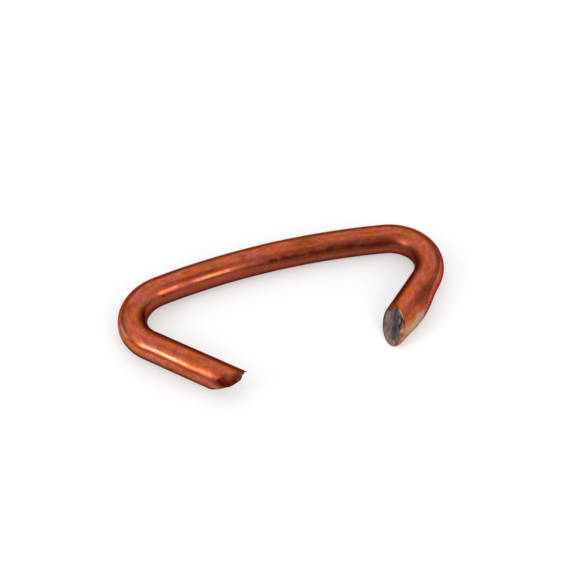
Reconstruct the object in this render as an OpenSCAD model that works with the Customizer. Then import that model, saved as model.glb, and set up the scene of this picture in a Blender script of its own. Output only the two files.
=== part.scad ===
// Hog ring: one piece of round copper-plated steel wire, bent open and cut at both ends.
// The ring lies flat on z = 0, its back runs along X and its legs reach towards -Y.

/* [Wire] */
// Diameter of the round wire
wire_d = 2.5; // [2:0.05:3]

/* [Back] */
// Length of the bowed back between its corner bends, along the wire's middle line
back_len = 19.8; // [16:0.1:26]
// Radius of the back's outward bow, at the wire's middle line
back_bow_r = 52; // [40:1:120]

/* [Corner bends] */
// Radius of both corner bends, at the wire's middle line
corner_r = 3.45; // [2.5:0.05:5]

/* [Legs] */
// Angle that each leg leans inwards from square to the back
leg_lean_angle = 43.8; // [35:0.1:50]
// Length of the left leg from its corner bend to the middle of its cut end
left_leg_len = 7.45; // [5:0.05:8]
// Length of the right leg from its corner bend to the middle of its cut end
right_leg_len = 5.65; // [5:0.05:8]

/* [Sheared ends] */
// Slant of the left cut from square to the wire
left_slant_angle = 55.5; // [30:0.5:60]
// Way the left cut faces round its leg: 0 is inwards, 90 up and -90 down
left_facing_angle = -90; // [-120:1:-60]
// Slant of the right cut from square to the wire
right_slant_angle = 44; // [30:0.5:60]
// Way the right cut faces round its leg: 0 is inwards, 90 up and -90 down
right_facing_angle = 56; // [40:1:100]
// Radius of the rolled-over edge where the shear blade entered the wire
cut_roll_r = 1.6; // [1:0.1:2]

/* [Hidden] */
$fn = 64;

wire_r = wire_d / 2;

// Angle of the bow on each side of the ring's middle, and of each corner bend
bow_half = back_len / 2 / back_bow_r * 180 / PI;
corner_turn = 90 + leg_lean_angle - bow_half;

// Right end of the back's middle line, with the middle of that line at the origin
back_end_x = back_bow_r * sin(bow_half);
back_end_y = back_bow_r * cos(bow_half) - back_bow_r;

// Centre of the right corner bend
corner_x = (back_bow_r - corner_r) * sin(bow_half);
corner_y = (back_bow_r - corner_r) * cos(bow_half) - back_bow_r;

// Start of the right leg's middle line, where the corner bend ends
leg_x = corner_x + corner_r * cos(leg_lean_angle);
leg_y = corner_y - corner_r * sin(leg_lean_angle);

// Radius of the ball that joins two stretches of wire at their seam, a hair over the wire's own
seam_r = 1.004 * wire_r;

// Angle at which the rolled edge leaves the wire's skin and the face of the cut
roll_edge_angle = 6;

// Lowest Y of an end: the far side of the ellipse that a slanted plane cuts from the wire
function end_low_y(len, slant, turn) =
    let (in_part = sin(leg_lean_angle) + tan(slant) * cos(turn) * cos(leg_lean_angle),
         up_part = tan(slant) * sin(turn) * cos(leg_lean_angle))
    leg_y - len * cos(leg_lean_angle) - wire_r * norm([in_part, up_part]);

// Place of the back's middle line, which puts the middle of the ring's outline at X = Y = 0
front_y = min(end_low_y(left_leg_len, left_slant_angle, left_facing_angle),
              end_low_y(right_leg_len, right_slant_angle, right_facing_angle));
back_y = -(wire_r + front_y) / 2;

// A stretch of wire bent to a radius in the XY plane, from one angle on by a turn
module bent_wire(bend_r, from, turn) {
    rotate([0, 0, from])
        rotate_extrude(angle = turn)
            translate([bend_r, 0])
                circle(r = wire_r);
}

// A ball at the origin whose poles lie along the wire, which runs along Y turned by an angle
module seam_ball(turn) {
    rotate([90, 0, turn])
        sphere(r = seam_r);
}

module back() {
    translate([0, -back_bow_r, 0])
        bent_wire(back_bow_r, 90 - bow_half, 2 * bow_half);
}

module right_corner() {
    translate([corner_x, corner_y, 0])
        bent_wire(corner_r, -leg_lean_angle, corner_turn);
}

// What the shear takes away, below a plane through the origin that faces +X as it slants
module shear_plane(slant) {
    reach = 3 * wire_d;
    rotate([0, -slant, 0])
        translate([-reach, -reach, -reach])
            cube([2 * reach, 2 * reach, reach]);
}

// What the blade's pressure takes from the short side of the cut, as a round edge.
module rolled_edge(slant) {
    inset = cut_roll_r * cos(roll_edge_angle);
    round_x = wire_r - inset;
    round_z = (inset + sin(slant) * round_x) / cos(slant);
    side = 2 * cut_roll_r;
    translate([round_x, 0, round_z])
        rotate([90, 0, 0])
            linear_extrude(height = 2 * wire_d, center = true)
                difference() {
                    polygon([[0, 0], [side, 0], [side * sin(slant), -side * cos(slant)]]);
                    circle(r = cut_roll_r);
                }
}

// A straight leg with its sheared end, hanging down -Z from the origin.
// Its +X side turns into the ring and its +Y side faces up once it is placed.
module leg(len, slant, turn) {
    spare = wire_r * tan(slant) + wire_r;
    difference() {
        translate([0, 0, -len - spare])
            cylinder(h = len + spare, r = wire_r);
        translate([0, 0, -len])
            rotate([0, 0, turn]) {
                shear_plane(slant);
                rolled_edge(slant);
            }
    }
}

// The right half past the back, which mirrored gives the left half
module right_side(len, slant, turn) {
    translate([back_end_x, back_end_y, 0])
        seam_ball(90 - bow_half);
    right_corner();
    translate([leg_x, leg_y, 0]) {
        seam_ball(-leg_lean_angle);
        rotate([90, 0, 180 - leg_lean_angle])
            leg(len, slant, turn);
    }
}

module wire_ring() {
    color("#b5532f")
        translate([0, back_y, seam_r]) {
            back();
            right_side(right_leg_len, right_slant_angle, right_facing_angle);
            mirror([1, 0, 0])
                right_side(left_leg_len, left_slant_angle, left_facing_angle);
        }
}

wire_ring();
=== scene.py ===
"""Hog ring: the finish of its copper-plated wire and sheared ends, with a plain pale studio."""

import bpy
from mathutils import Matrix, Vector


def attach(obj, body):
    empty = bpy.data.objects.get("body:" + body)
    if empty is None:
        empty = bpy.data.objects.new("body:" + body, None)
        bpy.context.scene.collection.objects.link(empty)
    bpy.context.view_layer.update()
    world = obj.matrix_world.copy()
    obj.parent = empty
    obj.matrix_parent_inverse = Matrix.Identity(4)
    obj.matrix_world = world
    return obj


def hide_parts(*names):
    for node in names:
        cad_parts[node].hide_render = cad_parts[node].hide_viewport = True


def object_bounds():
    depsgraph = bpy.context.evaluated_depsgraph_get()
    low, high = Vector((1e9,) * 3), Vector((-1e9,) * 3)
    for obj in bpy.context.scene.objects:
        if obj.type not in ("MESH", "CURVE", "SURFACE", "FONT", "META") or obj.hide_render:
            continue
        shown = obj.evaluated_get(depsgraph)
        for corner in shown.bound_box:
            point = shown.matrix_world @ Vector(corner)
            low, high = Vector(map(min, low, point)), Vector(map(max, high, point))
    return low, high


bl_info = {
    "name": "Hog Ring",
    "version": (1, 0, 0),
    "blender": (4, 5, 0),
    "location": "3D View > Sidebar > Hog Ring",
    "description": "Dresses a bent wire fastener in copper plating and bare sheared steel",
    "category": "Object",
}

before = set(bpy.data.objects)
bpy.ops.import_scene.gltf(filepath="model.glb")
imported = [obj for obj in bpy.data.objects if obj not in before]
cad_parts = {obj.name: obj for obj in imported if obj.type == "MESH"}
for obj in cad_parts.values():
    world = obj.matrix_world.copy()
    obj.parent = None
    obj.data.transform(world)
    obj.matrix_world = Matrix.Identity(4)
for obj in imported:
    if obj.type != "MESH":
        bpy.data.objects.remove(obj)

import math

import bmesh
import bpy
import numpy as np
from bpy.props import FloatProperty, FloatVectorProperty, IntProperty, PointerProperty
from bpy.types import Operator, Panel, PropertyGroup
from mathutils import Matrix, Vector, noise

MM = 0.001
CAD_LOW, CAD_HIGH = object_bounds()
PIECE_NAME = "plated_wire"
SOAP_FILM_IOR = 1.4


def linear(hex_colour):
    """The linear colour of an sRGB hex value such as "C86A44"."""
    parts = [int(hex_colour[i:i + 2], 16) / 255 for i in (0, 2, 4)]
    return [c / 12.92 if c <= 0.04045 else ((c + 0.055) / 1.055) ** 2.4 for c in parts]


def length(name, text, millimetres, low=0.0):
    """A length property whose default is given in millimetres."""
    return FloatProperty(name=name, description=text, default=millimetres * MM, min=low,
                         subtype="DISTANCE", unit="LENGTH", precision=5)


def angle(name, text, degrees):
    """An angle property whose default is given in degrees."""
    return FloatProperty(name=name, description=text, default=math.radians(degrees),
                         subtype="ANGLE", unit="ROTATION")


def colour(name, text, hex_colour):
    """A colour property whose default is given as an sRGB hex value."""
    return FloatVectorProperty(name=name, description=text, default=linear(hex_colour),
                               size=3, min=0.0, max=1.0, subtype="COLOR")


def number(name, text, value):
    """A plain factor with no unit."""
    return FloatProperty(name=name, description=text, default=value, min=0.0)


class WireSizes(PropertyGroup):
    """Sizes of the bent wire, the same as those of the solid that it dresses."""
    wire_diameter: length("Wire Diameter", "Diameter of the round wire", 2.5)
    back_length: length("Back Length", "Length of the bowed back between its bends", 19.8)
    bow_radius: length("Bow Radius", "Radius of the back's outward bow", 52.0)
    corner_radius: length("Corner Radius", "Radius of both corner bends at mid wire", 3.45)
    leg_lean: angle("Leg Lean", "How far each leg leans inwards from square", 43.8)
    left_leg: length("Left Leg", "Left leg up to the middle of its cut", 7.45)
    right_leg: length("Right Leg", "Right leg up to the middle of its cut", 5.65)
    left_slant: angle("Left Slant", "Slant of the left cut from square", 55.5)
    left_facing: angle("Left Facing", "Side that the left cut faces, 90 is up", -90.0)
    right_slant: angle("Right Slant", "Slant of the right cut from square", 44.0)
    right_facing: angle("Right Facing", "Side that the right cut faces, 90 is up", 56.0)
    edge_roll: length("Edge Roll", "Radius of the rolled edge on each cut's short side", 1.6)
    roll_leave: angle("Roll Leave", "Angle at which the roll leaves skin and cut", 6.0)
    ring_spacing: length("Ring Spacing", "Distance between the sweep's rings", 0.06, 0.00002)
    sides: IntProperty(name="Sides", description="Points round the wire", default=96, min=12)
    cap_rings: IntProperty(name="Cut Rings", description="Rings across each cut face",
                           default=26, min=4)


class PlatingLook(PropertyGroup):
    """Colours and finish of the copper plating."""
    orange: colour("Orange Copper", "Warm plating, thickest at the bends", "E1682F")
    rose: colour("Rose Copper", "Cooler, thinner plating", "D86652")
    speck: colour("Fresh Copper", "Bright specks rubbed clean on the high spots", "E89768")
    # Brown oxide in streaks and pits, and painted shade on the inner side, inside the bends and at the
    # tips.
    dark_brown: colour("Tarnish", "Brown oxide in streaks, pits and undersides", "682A1A")
    # Painted shade and floor reflection: the lower half of the wire darker and pinker.
    underside_shade: colour("Grime", "Dull brown film on the lower half of the wire", "82503F")
    # Painted shade: dark red brown where shade and dark reflections fall, by the cuts and in bands along
    # the back and the legs.
    painted_shade: colour("Burnt Tarnish", "Dark red brown in patches and by the cuts", "4A1408")
    edge: colour("Edge Tint", "How the plating darkens at a glancing angle", "786A68")
    gloss: number("Gloss Roughness", "Roughness of the cleanest plating", 0.20)
    dull: number("Dull Roughness", "Roughness of the tarnished plating", 0.40)
    film: number("Soap Film", "Share covered by the thin film left from drawing", 0.12)
    film_gloss: number("Film Roughness", "Roughness of that film", 0.10)


class SteelLook(PropertyGroup):
    """Colours and finish of the bare steel on the sheared ends."""
    bright: colour("Burnished Steel", "Steel rubbed smooth by the blade", "A8938A")
    cloud: colour("Clouded Steel", "Browner streaks in the burnished steel", "655853")
    dark: colour("Fractured Steel", "Rough steel where the wire broke off", "46444D")
    smear: colour("Dragged Copper", "Copper that the blade dragged over the cut", "6E4433")
    # Painted shade: near black in the right cut's groove and round its rim.
    painted_cut_shade: colour("Scorched Steel", "Near black scale in the groove and round the rim", "2A1C1C")
    # Painted highlight: pale steel along the turned-up edge, where it catches the light.
    lip: colour("Rubbed Lip", "Pale steel along the turned-up edge", "E2D2C6")
    # Pale copper: tool scuff at the right end that also paints the floor's reflection there, and painted
    # highlights and a glint by the left corner and the left tip.
    pale_copper: colour("Worn Plating", "Thin pale copper that the tool has scuffed", "C0906F")


class StudioLook(PropertyGroup):
    """The pale floor, the lamps and the camera."""
    floor: colour("Floor", "Matt white card", "FAF9F7")
    shade: colour("Tent Shade", "Dark cloth of the tent that the wire mirrors", "241814")
    azimuth: angle("Camera Azimuth", "Camera's turn from straight in front", -8.98)
    elevation: angle("Camera Elevation", "Camera's height above the horizon", 46.08)
    roll: angle("Camera Roll", "Camera's turn about its own line of sight", -6.70)
    distance: length("Camera Distance", "From the camera to the aim point", 125.0)
    focal_pixels: number("Focal Length in Pixels", "In a picture 576 pixels wide", 1466.0)


# Middle line

class MiddleLine:
    """The wire's middle line, by its length from the left tip's middle to the right one's."""

    def __init__(self, sizes):
        self.bow_r, self.corner_r = sizes.bow_radius, sizes.corner_radius
        self.lean = sizes.leg_lean
        self.half_bow = sizes.back_length / 2 / self.bow_r
        self.turn = math.pi / 2 + self.lean - self.half_bow
        self.corner_len = self.turn * self.corner_r
        self.half_back = sizes.back_length / 2
        self.left_leg, self.right_leg = sizes.left_leg, sizes.right_leg
        self.left_len = self.half_back + self.corner_len + self.left_leg
        self.right_len = self.half_back + self.corner_len + self.right_leg
        self.total = self.left_len + self.right_len
        self.back_y = CAD_HIGH.y - sizes.wire_diameter / 2
        self.height = (CAD_LOW.z + CAD_HIGH.z) / 2

    def half(self, run):
        """Points and headings of the right half, for lengths from the back's middle."""
        bow_end = np.array([math.sin(self.half_bow), math.cos(self.half_bow)])
        corner = (self.bow_r - self.corner_r) * bow_end - [0, self.bow_r]
        on_bow = np.minimum(run, self.half_back) / self.bow_r
        in_corner = np.clip(run - self.half_back, 0, self.corner_len) / self.corner_r
        heading = on_bow + in_corner
        bow = self.bow_r * np.c_[np.sin(heading), np.cos(heading) - 1]
        bend = corner + self.corner_r * np.c_[np.sin(heading), np.cos(heading)]
        down = np.c_[np.cos(heading), -np.sin(heading)]
        past = np.maximum(run - self.half_back - self.corner_len, 0)
        points = np.where((run <= self.half_back)[:, None], bow, bend) + past[:, None] * down
        return points, heading

    def at(self, along):
        """Points, outward directions and tangents, towards the right tip, at these lengths."""
        side = along - self.left_len
        points, heading = self.half(np.abs(side))
        sign = np.where(side < 0, -1.0, 1.0)
        points = np.c_[points[:, 0] * sign, points[:, 1] + self.back_y,
                       np.full(len(side), self.height)]
        outward = np.c_[np.sin(heading) * sign, np.cos(heading), np.zeros(len(side))]
        tangent = np.c_[np.cos(heading), -np.sin(heading) * sign, np.zeros(len(side))]
        return points, outward, tangent


# Sweep by Geometry Nodes

def node(tree, kind, links=(), **settings):
    """Adds a node to a tree, with its settings, and links sockets to its inputs."""
    made = tree.nodes.new(kind)
    for key, value in settings.items():
        if key in made.inputs:
            made.inputs[key].default_value = value
        else:
            setattr(made, key, value)
    for key, socket in dict(links).items():
        tree.links.new(socket, made.inputs[key])
    return made


def sweep_tree():
    """Sweeps a circle along a curve and keeps how far along it each point lies."""
    tree = bpy.data.node_groups.new("wire_sweep", "GeometryNodeTree")
    sockets = (("Path", "NodeSocketGeometry"), ("Wire Radius", "NodeSocketFloat"),
               ("Ring Spacing", "NodeSocketFloat"), ("Sides", "NodeSocketInt"),
               ("Finish", "NodeSocketMaterial"))
    for name, kind in sockets:
        tree.interface.new_socket(name, in_out="INPUT", socket_type=kind)
    tree.interface.new_socket("Wire", in_out="OUTPUT", socket_type="NodeSocketGeometry")
    given = node(tree, "NodeGroupInput").outputs
    rings = node(tree, "GeometryNodeResampleCurve",
                 {"Curve": given["Path"], "Length": given["Ring Spacing"]}, mode="LENGTH")
    upright = node(tree, "GeometryNodeSetCurveNormal", {"Curve": rings.outputs[0]},
                   mode="Z_UP")
    run = node(tree, "GeometryNodeSplineParameter")
    measured = node(tree, "GeometryNodeStoreNamedAttribute",
                    {"Geometry": upright.outputs[0], "Value": run.outputs["Length"]},
                    data_type="FLOAT", domain="POINT", Name="along")
    section = node(tree, "GeometryNodeCurvePrimitiveCircle",
                   {"Resolution": given["Sides"], "Radius": given["Wire Radius"]})
    tube = node(tree, "GeometryNodeCurveToMesh",
                {"Curve": measured.outputs[0], "Profile Curve": section.outputs[0]})
    real = node(tree, "GeometryNodeRealizeInstances", {"Geometry": tube.outputs[0]})
    finish = node(tree, "GeometryNodeSetMaterial",
                  {"Geometry": real.outputs[0], "Material": given["Finish"]})
    node(tree, "NodeGroupOutput", {"Wire": finish.outputs[0]})
    return tree


def swept_tube(line, sizes, finish):
    """The plain tube of the wire as a mesh, with the lengths along it in an attribute."""
    steps = int(line.total / sizes.ring_spacing) * 2
    points, _, _ = line.at(np.linspace(0, line.total, steps + 1))
    curve = bpy.data.curves.new("middle_line", "CURVE")
    curve.dimensions = "3D"
    spline = curve.splines.new("POLY")
    spline.points.add(len(points) - 1)
    spline.points.foreach_set("co", np.c_[points, np.ones(len(points))].ravel())
    path = bpy.data.objects.new("middle_line", curve)
    bpy.context.collection.objects.link(path)
    tree = sweep_tree()
    modifier = path.modifiers.new("wire_sweep", "NODES")
    modifier.node_group = tree
    values = {"Wire Radius": sizes.wire_diameter / 2, "Ring Spacing": sizes.ring_spacing,
              "Sides": sizes.sides, "Finish": finish}
    for item in tree.interface.items_tree:
        if item.name in values:
            modifier[item.identifier] = values[item.name]
    graph = bpy.context.evaluated_depsgraph_get()
    mesh = bpy.data.meshes.new_from_object(path.evaluated_get(graph), depsgraph=graph)
    path.modifiers.remove(modifier)
    bpy.data.objects.remove(path)
    bpy.data.curves.remove(curve)
    return mesh


# Sheared ends

class Cut:
    """One slanted cut, read as heights of the end over the wire's round section."""

    def __init__(self, sizes, slant, facing, reach):
        self.radius, self.slant, self.facing = sizes.wire_diameter / 2, slant, facing
        self.roll, self.reach = sizes.edge_roll, reach
        inside = self.roll * math.cos(sizes.roll_leave)
        self.roll_height = self.radius - inside
        self.roll_depth = -(inside + self.roll_height * math.sin(slant)) / math.cos(slant)
        self.roll_start = self.roll_height + inside * math.sin(slant)

    def stand(self, inner, up):
        """How far the end stands past its middle, at a point this far inwards and up."""
        height = inner * math.cos(self.facing) + up * math.sin(self.facing)
        plane = -height * math.tan(self.slant)
        arc = np.sqrt(np.maximum(self.roll ** 2 - (height - self.roll_height) ** 2, 0))
        return np.where(height > self.roll_start, np.minimum(plane, self.roll_depth + arc),
                        plane)


def bell(value, middle, width):
    """A smooth hump of height 1 about a middle."""
    return np.exp(-((value - middle) / width) ** 2)


def ease(value, start, end):
    """Rises smoothly from 0 to 1 between two values."""
    share = np.clip((value - start) / (end - start), 0, 1)
    return share * share * (3 - 2 * share)


def rough(points, size, seed):
    """Smooth random heights, -1 to 1, with lumps of this size."""
    shift = Vector((seed * 7.3, seed * 3.1, seed * 5.7))
    return np.array([noise.noise(Vector(p) / size + shift) for p in points])


def round_angle(inner, up):
    """Angle round the wire in degrees: 0 outwards, 90 up, 180 inwards, below is negative."""
    return np.degrees(np.arctan2(up, -inner))


def left_tip(cut, inner, up):
    """Stand and bareness of the left end: torn along its top edge, with one thin burr."""
    turn, out = round_angle(inner, up), np.hypot(inner, up) / cut.radius
    ragged = rough(np.c_[inner, up, 0 * up], 0.16 * MM, 1) * 0.06 * MM * ease(out, 0.5, 1)
    burr = 0.42 * MM * bell(turn, 131, 7) * ease(out, 0.93, 1)
    step = 0.20 * MM * bell(turn, 48, 26) * ease(out, 0.6, 1)
    curl = -0.16 * MM * bell(turn, 98, 6) * ease(out, 0.9, 1)
    broken = rough(np.c_[inner, up, 0 * up], 0.22 * MM, 2) * 0.035 * MM * ease(out, 1, 0.8)
    bare = ease(out, 0.99, 0.88)
    return cut.stand(inner, up) + ragged + burr + step + curl + broken, bare


def right_tip(cut, inner, up):
    """Stand and bareness of the right end: a lip on top, a shoulder, a broken middle."""
    turn, out = round_angle(inner, up), np.hypot(inner, up) / cut.radius
    shoulder = -0.30 * MM * bell(turn, -10, 56) * ease(out, 0.3, 1.1) ** 1.5
    lip = 0.12 * MM * bell(turn, 60, 22) * ease(out, 0.84, 0.97)
    groove = -0.10 * MM * bell(turn, 48, 36) * bell(out, 0.76, 0.09)
    broken = rough(np.c_[inner, up, 0 * up], 0.24 * MM, 3) * 0.045 * MM * ease(out, 1, 0.75)
    waver = rough(np.c_[inner, up, 0 * up], 0.3 * MM, 6) * 0.09 * MM
    height = inner * math.cos(cut.facing) + up * math.sin(cut.facing)
    bare = ease(height + waver, 1.04 * MM, 0.86 * MM) * ease(waver - inner, 1.10 * MM, 0.30 * MM)
    return cut.stand(inner, up) + shoulder + lip + groove + broken, bare


def wire_mesh(line, sizes, finishes):
    """The swept wire with its ends drawn out to the two cuts and closed over them."""
    mesh = swept_tube(line, sizes, finishes[0])
    count = len(mesh.vertices)
    place = np.empty(count * 3)
    mesh.vertices.foreach_get("co", place)
    place = place.reshape(-1, 3)
    along = np.empty(count)
    mesh.attributes["along"].data.foreach_get("value", along)
    centre, outward, tangent = line.at(along)
    inner = -((place - centre) * outward).sum(1)
    up = (place - centre)[:, 2]
    turn, radius = round_angle(inner, up), sizes.wire_diameter / 2
    left = Cut(sizes, sizes.left_slant, sizes.left_facing, 5.6 * MM)
    right = Cut(sizes, sizes.right_slant, sizes.right_facing, 4.4 * MM)
    swell = worn_skin(line, radius, along, turn)
    inner, up = inner * (1 + swell / radius), up * (1 + swell / radius)
    ends = ((left, left_tip, along, -1), (right, right_tip, line.total - along, 1))
    for cut, tip, run, sign in ends:
        near = run < cut.reach
        plain = cut.stand(inner[near], up[near])
        torn = tip(cut, inner[near], up[near])[0] - plain
        share = 1 - run[near] / cut.reach
        along[near] += sign * (share * plain + ease(share, 0.9, 1) * torn)
    centre, outward, _ = line.at(along)
    place = centre - outward * inner[:, None]
    place[:, 2] += up
    place = np.clip(place, CAD_LOW, CAD_HIGH)
    mesh.vertices.foreach_set("co", place.ravel())
    mesh.attributes["along"].data.foreach_set("value", along)
    mesh.materials.append(finishes[1])
    close_ends(mesh, line, sizes, ((left, left_tip, 0.0, -1), (right, right_tip, line.total, 1)))
    store_straight(mesh, line)
    return mesh


def worn_skin(line, radius, along, turn):
    """How far the skin stands off the true round: lumps, handling dents, squeezed ends."""
    rim = np.c_[along, radius * np.cos(np.radians(turn)), radius * np.sin(np.radians(turn))]
    lumps = rough(rim, 1.9 * MM, 4) * 0.012 * MM + rough(rim, 0.7 * MM, 5) * 0.003 * MM
    to_right = line.total - along
    squeezed = 0.46 * MM * bell(turn, -6, 42) * bell(to_right, 2.7 * MM, 2.0 * MM)
    dragged = -0.07 * MM * bell(turn, 40, 24) * ease(along, 1.3 * MM, -0.6 * MM)
    return lumps - 0.014 * MM + squeezed + dragged


def close_ends(mesh, line, sizes, ends):
    """Closes both ends of the tube with rings of faces that follow the cuts."""
    body = bmesh.new()
    body.from_mesh(mesh)
    run_layer = body.verts.layers.float["along"]
    bare_layer = body.verts.layers.float.new("bare")
    for cut, shape, at, sign in ends:
        point, out, heading = (v[0] for v in line.at(np.array([at])))
        rim = [e for e in body.edges if e.is_boundary
               and (e.verts[0].co - Vector(point)).length < 3 * sizes.wire_diameter]
        first = rim[0].verts[0]
        loop, edge = [first], rim[0]
        while True:
            step = edge.other_vert(loop[-1])
            if step is first:
                break
            loop.append(step)
            edge = next(e for e in step.link_edges if e.is_boundary and e is not edge)
        from_middle = np.array([vert.co for vert in loop]) - point
        inner, up = -from_middle @ out, from_middle[:, 2]
        rings, count = [loop], len(loop)
        for ring in range(1, sizes.cap_rings + 1):
            share = (1 - ring / sizes.cap_rings) ** 1.15
            keep = count if share else 1
            stand, bare = shape(cut, (inner * share)[:keep], (up * share)[:keep])
            spots = point - np.outer((inner * share)[:keep], out)
            spots += np.outer(sign * stand, heading)
            spots[:, 2] += (up * share)[:keep]
            spots = np.clip(spots, CAD_LOW, CAD_HIGH)
            made = [body.verts.new(spot) for spot in spots]
            for vert, shift, steel in zip(made, stand, bare):
                vert[run_layer], vert[bare_layer] = at + sign * shift, steel
            rings.append(made)
        for outer, inside in zip(rings, rings[1:]):
            for i in range(count):
                corners = [outer[i], outer[(i + 1) % count]]
                corners += [inside[(i + 1) % count], inside[i]] if len(inside) > 1 else inside
                face = body.faces.new(corners)
                steel = sum(vert[bare_layer] for vert in corners) / len(corners)
                face.material_index = int(steel > 0.05)
    bmesh.ops.recalc_face_normals(body, faces=body.faces)
    for face in body.faces:
        face.smooth = True
    body.to_mesh(mesh)
    body.free()


def store_straight(mesh, line):
    """Keeps each point's place on the straightened wire, its wear and its painted shade and highlights,
    for the finishes.
    """
    count = len(mesh.vertices)
    place = np.empty(count * 3)
    mesh.vertices.foreach_get("co", place)
    place = place.reshape(-1, 3)
    along = np.empty(count)
    mesh.attributes["along"].data.foreach_get("value", along)
    centre, outward, _ = line.at(along)
    out = ((place - centre) * outward).sum(1)
    layer = mesh.attributes.new("straight", "FLOAT_VECTOR", "POINT")
    straight = np.c_[along, out, place[:, 2] - line.height]
    layer.data.foreach_set("vector", straight.ravel())
    turn, to_right = round_angle(-out, straight[:, 2]), line.total - along
    bend = line.left_leg + line.corner_len / 2
    from_axis = np.hypot(out, straight[:, 2])
    bare = np.empty(count)
    mesh.attributes["bare"].data.foreach_get("value", bare)
    on_right_cut = (to_right < 2 * MM) * (bare > 0.01)
    # Pale copper at the right end, partly tool scuff and partly painted floor reflection; by the left
    # corner a painted reflection and highlight; by the left tip a painted glint.
    pale_wear_and_sheen = bell(turn, -14, 38) * ease(to_right, 4.2 * MM, 0.4 * MM)
    pale_wear_and_sheen += 0.7 * bell(turn, 12, 14) * bell(to_right, 1.6 * MM, 0.9 * MM)
    pale_wear_and_sheen += 0.5 * bell(turn, 20, 26) * ease(to_right, 1.2 * MM, 0.3 * MM)
    inside_rim = (to_right < 2 * MM) * (from_axis < 1.19 * MM)
    pale_wear_and_sheen *= 1 - 0.25 * inside_rim
    pale_wear_and_sheen += bell(turn, 14, 20) * bell(along, bend - 0.8 * MM, 2.4 * MM)
    pale_wear_and_sheen += 0.9 * bell(turn, 40, 9) * bell(along, bend - 2.0 * MM, 1.3 * MM)
    pale_wear_and_sheen += bell(turn, 74, 7) * bell(along, -1.62 * MM, 0.12 * MM)
    # Painted shade at the left tip's end and inside the back's right half and right corner; brown on the
    # copper just inside the right cut's rim.
    brownish_and_shade = 0.9 * bell(turn, 70, 60) * ease(along, -0.7 * MM, -1.3 * MM)
    brownish_and_shade += 0.8 * bell(turn, 168, 32) * ease(along, 21 * MM, 27 * MM)
    brownish_and_shade += 0.5 * bell(turn, 5, 50) * inside_rim
    # Painted shade and dark reflections: under the left tip, a break in the back's highlight, dark hooks
    # by the left rim, the right cut's groove and rim, bands along the back, and the right leg's outer
    # side.
    painted_shade = 1.35 * bell(turn, 46, 23) * ease(along, 1.2 * MM, -0.7 * MM)
    painted_shade += 0.35 * bell(turn, 143, 12) * bell(along, 17.0 * MM, 0.8 * MM)
    painted_shade += 0.8 * bell(turn, 62, 10) * bell(along, -1.45 * MM, 0.15 * MM)
    painted_shade += 0.95 * bell(turn, 32, 42) * ease(bare, 0.97, 0.65) * on_right_cut
    painted_shade += 0.8 * bell(turn, 55, 18) * bell(from_axis, 0.93 * MM, 0.13 * MM) * on_right_cut
    painted_shade += bell(np.abs(turn), 180, 60) * bell(from_axis, 1.22 * MM, 0.11 * MM) * on_right_cut
    painted_shade += 0.85 * bell(turn, 147, 20) * ease(along, 20.2 * MM, 24.5 * MM) * ease(along, 36 * MM, 34 * MM)
    painted_shade += 0.65 * bell(turn, 125, 9) * bell(along, 18.3 * MM, 3.4 * MM)
    painted_shade += 0.75 * bell(turn, 45, 22) * bell(to_right, 3.8 * MM, 2.4 * MM)
    dulled = bell(turn, 44, 26) * ease(along, 1.7 * MM, 0.9 * MM)
    dulled += 0.8 * bell(turn, 138, 20) * bell(along, 36.4 * MM, 1.8 * MM)
    dulled += bell(turn, 143, 14) * (bell(along, 17.0 * MM, 1.0 * MM)
                                    + ease(along, 20.4 * MM, 21.6 * MM) * ease(along, 36 * MM, 34 * MM))
    core = bell(out + 0.20 * straight[:, 2], 0.18 * MM, 0.50 * MM)
    core *= ease(straight[:, 2], -1.10 * MM, -0.60 * MM)
    # Painted highlight along the right cut's turned-up edge.
    lip = bell(turn, 62, 24) * bell(from_axis, 1.17 * MM, 0.13 * MM) * on_right_cut
    for name, values in (("lip", lip), ("pale_wear_and_sheen", pale_wear_and_sheen), ("brownish_and_shade", brownish_and_shade), ("painted_shade", painted_shade),
                         ("dulled", dulled), ("core", core)):
        mesh.attributes.new(name, "FLOAT", "POINT").data.foreach_set("value", values)


# Finishes

def new_material(name, base):
    """A material with its Principled shader, and the base colour for plain viewports."""
    made = bpy.data.materials.new(name)
    made.use_nodes = True
    made.diffuse_color = (*base, 1)
    return made, made.node_tree, made.node_tree.nodes["Principled BSDF"]


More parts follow.
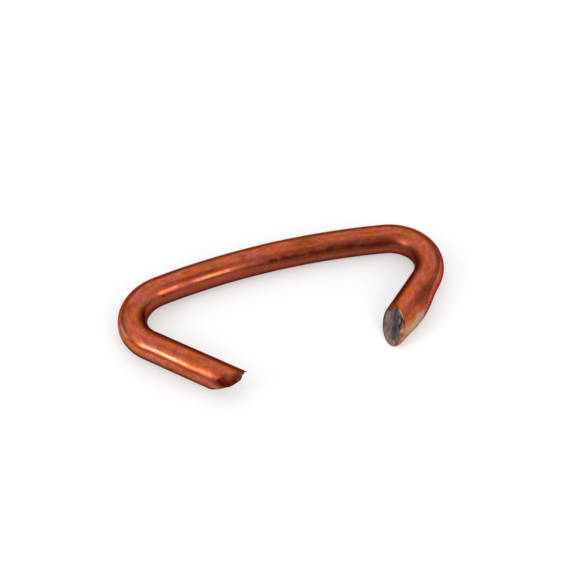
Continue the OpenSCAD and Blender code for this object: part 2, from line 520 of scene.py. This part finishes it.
class Paint:
    """A material's nodes, read from the straightened wire that its points keep."""

    def __init__(self, name, base):
        self.made, self.tree, self.shader = new_material(name, base)
        self.straight = self.kept("straight", "Vector")

    def kept(self, name, output="Fac"):
        """A value that the mesh keeps at each point."""
        return node(self.tree, "ShaderNodeAttribute", attribute_name=name).outputs[output]

    def grain(self, stretch, detail=3.0):
        """Noise with this many lumps to the metre along, outwards and up."""
        spread = node(self.tree, "ShaderNodeMapping", {"Vector": self.straight}, Scale=stretch)
        return node(self.tree, "ShaderNodeTexNoise", {"Vector": spread.outputs[0]},
                    Scale=1.0, Detail=detail, Roughness=0.6).outputs["Fac"]

    def band(self, value, low, high, to_low=0.0, to_high=1.0):
        """The value's run from low to high, as a run between two others."""
        made = node(self.tree, "ShaderNodeMapRange", {"Value": value})
        for key, number in (("From Min", low), ("From Max", high),
                            ("To Min", to_low), ("To Max", to_high)):
            made.inputs[key].default_value = number
        return made.outputs[0]

    def mix(self, factor, first, second):
        """Two colours, each a property or a socket, mixed by a factor."""
        made = node(self.tree, "ShaderNodeMix", {"Factor": factor}, data_type="RGBA")
        for key, given in ((6, first), (7, second)):
            if isinstance(given, bpy.types.NodeSocket):
                self.tree.links.new(given, made.inputs[key])
            else:
                made.inputs[key].default_value = (*given, 1)
        return made.outputs[2]

    def blend(self, factor, first, second):
        """Two values mixed by a factor."""
        return node(self.tree, "ShaderNodeMix", {0: factor, 2: first, 3: second}).outputs[0]

    def join(self, first, second, operation="MAXIMUM"):
        """Two values joined by a sum, a product or the larger of them."""
        return node(self.tree, "ShaderNodeMath", {0: first, 1: second},
                    operation=operation).outputs[0]

    def wear(self, **links):
        """Links sockets to the shader's inputs, underscores standing for spaces."""
        for key, socket in links.items():
            self.tree.links.new(socket, self.shader.inputs[key.replace("_", " ")])

    def relief(self, height, strength, distance):
        """Raises the surface by a height, with no change to its mesh."""
        bump = node(self.tree, "ShaderNodeBump", {"Height": height}, Strength=strength,
                    Distance=distance)
        self.wear(Normal=bump.outputs[0])


def plated_surface(paint, look, steel):
    """Colour, metalness, roughness and height of the plating, with its tarnish and scuffs and its painted
    shade, reflections and highlights.
    """
    # Plating thins and thickens in patches about a third of the wire's width long.
    plated = paint.mix(paint.band(paint.grain((520, 900, 900), 5.0), 0.42, 0.58),
                       look.orange, look.rose)
    specks = paint.band(paint.grain((2300, 3600, 3600), 2.0), 0.52, 0.72, 0.0, 0.6)
    plated = paint.mix(specks, plated, look.speck)
    # Brown oxide gathers in lengthwise streaks and in pits; painted shade darkens the inner side, the
    # lower half, the insides of the bends and both tips.
    streaks = paint.band(paint.grain((300, 1500, 1500)), 0.46, 0.70, 0.0, 0.6)
    pits = paint.band(paint.grain((1500, 2300, 2300), 3.0), 0.46, 0.70, 0.0, 0.45)
    side = node(paint.tree, "ShaderNodeSeparateXYZ", {"Vector": paint.straight}).outputs
    marks = paint.join(streaks, pits)
    # Painted shade: the inner side of the wire darker, over the oxide streaks and pits.
    darkening = paint.join(paint.join(marks, paint.kept("brownish_and_shade")),
                       paint.band(side["Y"], -0.0003, -0.0012, 0.0, 0.65))
    # Painted shade and floor reflection darken the lower half and tint it pink.
    shaded_below = paint.mix(paint.band(side["Z"], 0.0010, -0.0003, 0.0, 0.65), plated, look.underside_shade)
    brownish_and_shade = paint.mix(darkening, shaded_below, look.dark_brown)
    patchy = paint.band(paint.grain((1100, 1700, 1700), 3.0), 0.35, 0.62, 0.55, 1.10)
    # Painted shade mixed over the plating, broken up in patches.
    brownish_and_shade = paint.mix(paint.join(paint.kept("painted_shade"), patchy, "MULTIPLY"), brownish_and_shade, look.painted_shade)
    # The tool that sheared the right end has scuffed its outer side pale, which also paints the floor's
    # reflection there; the same pale copper paints highlights by the left corner and a glint by the left
    # tip.
    rubbed = paint.band(paint.grain((900, 2300, 2300), 5.0), 0.35, 0.65, -0.5, 0.25)
    paleness = paint.band(paint.join(paint.kept("pale_wear_and_sheen"), rubbed, "ADD"), 0.28, 1.10)
    dull = paint.join(paint.join(marks, paint.kept("pale_wear_and_sheen")),
                      paint.join(paint.kept("brownish_and_shade"), paint.kept("dulled")))
    # Die lines run the length of the wire, about ten to its width.
    height = paint.join(paint.grain((90, 4200, 4200), 2.0),
                        paint.band(pits, 0.0, 0.6, 0.0, -0.3), "ADD")
    return (paint.mix(paleness, brownish_and_shade, steel.pale_copper), paint.band(paleness, 0.0, 1.0, 1.0, 0.7),
            paint.band(dull, 0.0, 0.7, look.gloss, look.dull), height)


def copper_plating(look, steel):
    """Thin bright copper over drawn steel wire: mottled, with die lines along the wire."""
    paint = Paint("copper_plating", look.orange)
    paint.shader.inputs["Metallic"].default_value = 1.0
    paint.shader.inputs["Specular Tint"].default_value = (*look.edge, 1)
    paint.shader.inputs["Coat Roughness"].default_value = look.film_gloss
    paint.shader.inputs["Coat IOR"].default_value = SOAP_FILM_IOR
    colour_out, metal, roughness, height = plated_surface(paint, look, steel)
    paint.wear(Base_Color=colour_out, Metallic=metal, Roughness=roughness,
               Coat_Weight=paint.band(paint.kept("painted_shade"), 0.1, 0.7, look.film, 0.0))
    paint.relief(height, 0.10, 0.00005)
    return paint.made


def sheared_steel(look, plating):
    """Bare steel of a cut: rubbed bright by the blade, dull grey where it broke."""
    paint = Paint("sheared_steel", look.dark)
    paint.shader.inputs["Metallic"].default_value = 1.0
    crumbs = paint.grain((2200, 2200, 2200), 3.0)
    broken = paint.join(paint.kept("core"), paint.band(crumbs, 0.3, 0.7, 0.6, 1.2),
                        "MULTIPLY")
    # The blade's drag leaves upright streaks in the burnished steel.
    cloudy = paint.band(paint.grain((1500, 5200, 1500), 3.0), 0.38, 0.66, 0.0, 0.75)
    rubbed = paint.mix(cloudy, look.bright, look.cloud)
    # Painted shade on the cut, in its groove and round its rim.
    grey = paint.mix(paint.kept("painted_shade"), paint.mix(broken, rubbed, look.dark), look.painted_cut_shade)
    rim = paint.band(paint.kept("bare"), 0.62, 0.40)
    smeared = paint.mix(rim, grey, look.smear)
    # Painted highlight along the turned-up edge, pale and less metallic.
    steel = paint.mix(paint.kept("lip"), smeared, look.lip)
    # The plating ends in a thin torn edge, where it was dragged over the steel.
    torn = paint.band(paint.join(paint.kept("bare"), paint.band(crumbs, 0.3, 0.7, -0.08, 0.08),
                                 "ADD"), 0.34, 0.44)
    copper, metal, roughness, _ = plated_surface(paint, plating, look)
    paint.wear(Base_Color=paint.mix(torn, copper, steel),
               Metallic=paint.blend(torn, metal, paint.band(paint.kept("lip"), 0.0, 1.0, 1.0, 0.2)),
               Roughness=paint.blend(torn, roughness, paint.band(crumbs, 0.3, 0.7, 0.36, 0.55)))
    paint.relief(crumbs, 0.5, 0.00005)
    return paint.made


# Studio

# The tent's cloth lets all the white round it through at 0 and none at 1. Each patch has
# its middle azimuth and half width, its elevation and half height, and its darkness.
TENT_CLOTH = 0.22
TENT_SHADES = ((0, 400, -2, 16, 0.60),
               (180, 110, 0, 26, 0.80),
               (-95, 60, 72, 12, 0.60),
               (52, 40, 34, 24, 0.00),
               (-84, 20, 42, 22, 0.00),
               (-22, 33, 0, 62, 1.00))


def toward_ring(azimuth, elevation):
    """The direction from the ring to this azimuth, 0 in front and 90 at right, and height."""
    turn, rise = math.radians(azimuth), math.radians(elevation)
    return Vector((math.sin(turn) * math.cos(rise), -math.cos(turn) * math.cos(rise),
                   math.sin(rise)))


def area_lamp(name, azimuth, elevation, distance, width, height, radiance):
    """A lamp that looks at the ring and shows in it at this brightness, 1 being white."""
    data = bpy.data.lights.new(name, "AREA")
    data.shape = "RECTANGLE"
    data.size, data.size_y = width, height
    data.energy = radiance * math.pi * width * height
    lamp = bpy.data.objects.new(name, data)
    bpy.context.collection.objects.link(lamp)
    toward = toward_ring(azimuth, elevation)
    lamp.location = toward * distance
    lamp.rotation_euler = toward.to_track_quat("Z", "Y").to_euler()
    return lamp


def tent_shade(azimuths, elevations):
    """How dark the tent's cloth is in these directions: deepest where the camera looks in."""
    dark = np.full(azimuths.shape, TENT_CLOTH)
    for middle, half_wide, height, half_tall, shade in TENT_SHADES:
        apart = (azimuths - middle + 180) % 360 - 180
        window = np.exp(-(apart / half_wide) ** 4 - ((elevations - height) / half_tall) ** 4)
        dark += (shade - dark) * window
    return dark


def shade_tent(radius, finish):
    """A dome of graded cloth round the ring, seen only in the metal's reflections."""
    wide, tall = 120, 40
    turns, rises = np.meshgrid(np.linspace(-180, 180, wide + 1), np.linspace(1, 89.5, tall + 1))
    mesh = bpy.data.meshes.new("shade_tent")
    verts = [toward_ring(t, e) * radius for t, e in zip(turns.ravel(), rises.ravel())]
    faces = [(r * (wide + 1) + c, r * (wide + 1) + c + 1, (r + 1) * (wide + 1) + c + 1,
              (r + 1) * (wide + 1) + c) for r in range(tall) for c in range(wide)]
    mesh.from_pydata(verts, [], faces)
    mesh.attributes.new("shade", "FLOAT", "POINT").data.foreach_set(
        "value", tent_shade(turns, rises).ravel())
    mesh.materials.append(finish)
    tent = bpy.data.objects.new("shade_tent", mesh)
    bpy.context.collection.objects.link(tent)
    tent.visible_camera = tent.visible_diffuse = tent.visible_shadow = False
    return tent


def white_world(strength):
    """A white surround for the camera and for reflections, and softer light otherwise."""
    world = bpy.data.worlds.new("white_surround")
    world.use_nodes = True
    tree = world.node_tree
    ray = node(tree, "ShaderNodeLightPath").outputs
    seen = node(tree, "ShaderNodeMath", {0: ray["Is Camera Ray"], 1: ray["Is Glossy Ray"]},
                operation="MAXIMUM")
    shown = node(tree, "ShaderNodeMath",
                 {0: seen.outputs[0], 1: ray["Is Transmission Ray"]}, operation="MAXIMUM")
    level = node(tree, "ShaderNodeMapRange", {"Value": shown.outputs[0]})
    level.inputs["To Min"].default_value = strength
    level.inputs["To Max"].default_value = 1.0
    tree.links.new(level.outputs[0], tree.nodes["Background"].inputs["Strength"])
    tree.nodes["Background"].inputs["Color"].default_value = (1, 1, 1, 1)
    bpy.context.scene.world = world


def pale_floor(look):
    """A large matt card under the object, paper white to the camera."""
    bpy.ops.mesh.primitive_plane_add(size=1.6)
    floor = bpy.context.object
    floor.name = "floor"
    made, tree, shader = new_material("matt_white_card", look.floor)
    shader.inputs["Base Color"].default_value = (*look.floor, 1)
    shader.inputs["Roughness"].default_value = 0.9
    ray = node(tree, "ShaderNodeLightPath").outputs
    seen = node(tree, "ShaderNodeMath", {0: ray["Is Camera Ray"], 1: ray["Is Glossy Ray"]},
                operation="MAXIMUM")
    shown = node(tree, "ShaderNodeMath",
                 {0: seen.outputs[0], 1: ray["Is Transmission Ray"]}, operation="MAXIMUM")
    share = node(tree, "ShaderNodeMath", {0: shown.outputs[0]}, operation="MULTIPLY")
    share.inputs[1].default_value = 0.4
    white = node(tree, "ShaderNodeEmission", Color=(1, 1, 1, 1), Strength=1.0)
    blend = node(tree, "ShaderNodeMixShader",
                 {0: share.outputs[0], 1: shader.outputs[0], 2: white.outputs[0]})
    tree.links.new(blend.outputs[0], tree.nodes["Material Output"].inputs["Surface"])
    floor.data.materials.append(made)
    return floor


def photo_camera(look, line):
    """The camera at the photograph's angle, aimed at the middle of the picture."""
    back = Vector((math.sin(look.azimuth) * math.cos(look.elevation),
                   -math.cos(look.azimuth) * math.cos(look.elevation),
                   math.sin(look.elevation)))
    level = Vector((0, 0, 1)).cross(back).normalized()
    upright = back.cross(level)
    right = level * math.cos(look.roll) + upright * math.sin(look.roll)
    top = upright * math.cos(look.roll) - level * math.sin(look.roll)
    aim = Vector((0, line.back_y, line.height)) + right * 1.547 * MM - top * 2.610 * MM
    data = bpy.data.cameras.new("photo_camera")
    camera = bpy.data.objects.new("photo_camera", data)
    bpy.context.collection.objects.link(camera)
    data.lens = look.focal_pixels * data.sensor_width / 576
    data.clip_start, data.clip_end = 0.005, 10
    place = Matrix((right, top, back)).transposed().to_4x4()
    place.translation = aim + back * look.distance
    camera.matrix_world = place
    bpy.context.scene.camera = camera


# Operators and panel

class HOGRING_OT_wire(Operator):
    """Make the plated wire with its two sheared ends"""
    bl_idname = "hogring.wire"
    bl_label = "Plated Wire"

    def execute(self, context):
        scene = context.scene
        line = MiddleLine(scene.wire_sizes)
        finishes = (copper_plating(scene.plating_look, scene.steel_look),
                    sheared_steel(scene.steel_look, scene.plating_look))
        mesh = wire_mesh(line, scene.wire_sizes, finishes)
        mesh.name = PIECE_NAME
        wire = bpy.data.objects.new(PIECE_NAME, mesh)
        context.collection.objects.link(wire)
        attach(wire, "root")
        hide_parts("wire_ring")
        return {"FINISHED"}


class HOGRING_OT_studio(Operator):
    """Make the floor, the surround, the lamps and the camera"""
    bl_idname = "hogring.studio"
    bl_label = "Studio"

    def execute(self, context):
        look = context.scene.studio_look
        context.scene.view_settings.view_transform = "Standard"
        pale_floor(look)
        white_world(1.0)
        cloth, tree, shader = new_material("tent_cloth", look.shade)
        shader.inputs["Base Color"].default_value = (*look.shade, 1)
        shader.inputs["Roughness"].default_value = 0.9
        kept = node(tree, "ShaderNodeAttribute", attribute_name="shade")
        tree.links.new(kept.outputs["Fac"], shader.inputs["Alpha"])
        shade_tent(0.45, cloth)
        area_lamp("lamp_left", -76, 32, 0.3, 0.045, 0.075, 12.0)
        area_lamp("lamp_front", 24, 30, 0.3, 0.034, 0.10, 10.0)
        area_lamp("lamp_beside", 13, 28, 0.3, 0.026, 0.075, 11.0)
        photo_camera(look, MiddleLine(context.scene.wire_sizes))
        return {"FINISHED"}


class HOGRING_PT_parts(Panel):
    """Lists the pieces and the stage"""
    bl_idname = "HOGRING_PT_parts"
    bl_label = "Hog Ring"
    bl_space_type = "VIEW_3D"
    bl_region_type = "UI"
    bl_category = "Hog Ring"

    def draw(self, context):
        scene = context.scene
        groups = ((HOGRING_OT_wire, ("wire_sizes", "plating_look", "steel_look")),
                  (HOGRING_OT_studio, ("studio_look",)))
        for operator, names in groups:
            box = self.layout.box()
            box.operator(operator.bl_idname)
            for name in names:
                group = getattr(scene, name)
                for key in group.__annotations__:
                    box.prop(group, key)


PROPERTY_GROUPS = {"wire_sizes": WireSizes, "plating_look": PlatingLook,
                   "steel_look": SteelLook, "studio_look": StudioLook}
CLASSES = (*PROPERTY_GROUPS.values(), HOGRING_OT_wire, HOGRING_OT_studio, HOGRING_PT_parts)


def register():
    for cls in CLASSES:
        bpy.utils.register_class(cls)
    for name, group in PROPERTY_GROUPS.items():
        setattr(bpy.types.Scene, name, PointerProperty(type=group))


def unregister():
    for name in PROPERTY_GROUPS:
        delattr(bpy.types.Scene, name)
    for cls in reversed(CLASSES):
        bpy.utils.unregister_class(cls)


def main():
    """Makes every piece and the stage."""
    register()
    bpy.ops.hogring.wire()
    bpy.ops.hogring.studio()


if __name__ == "__main__":
    main()
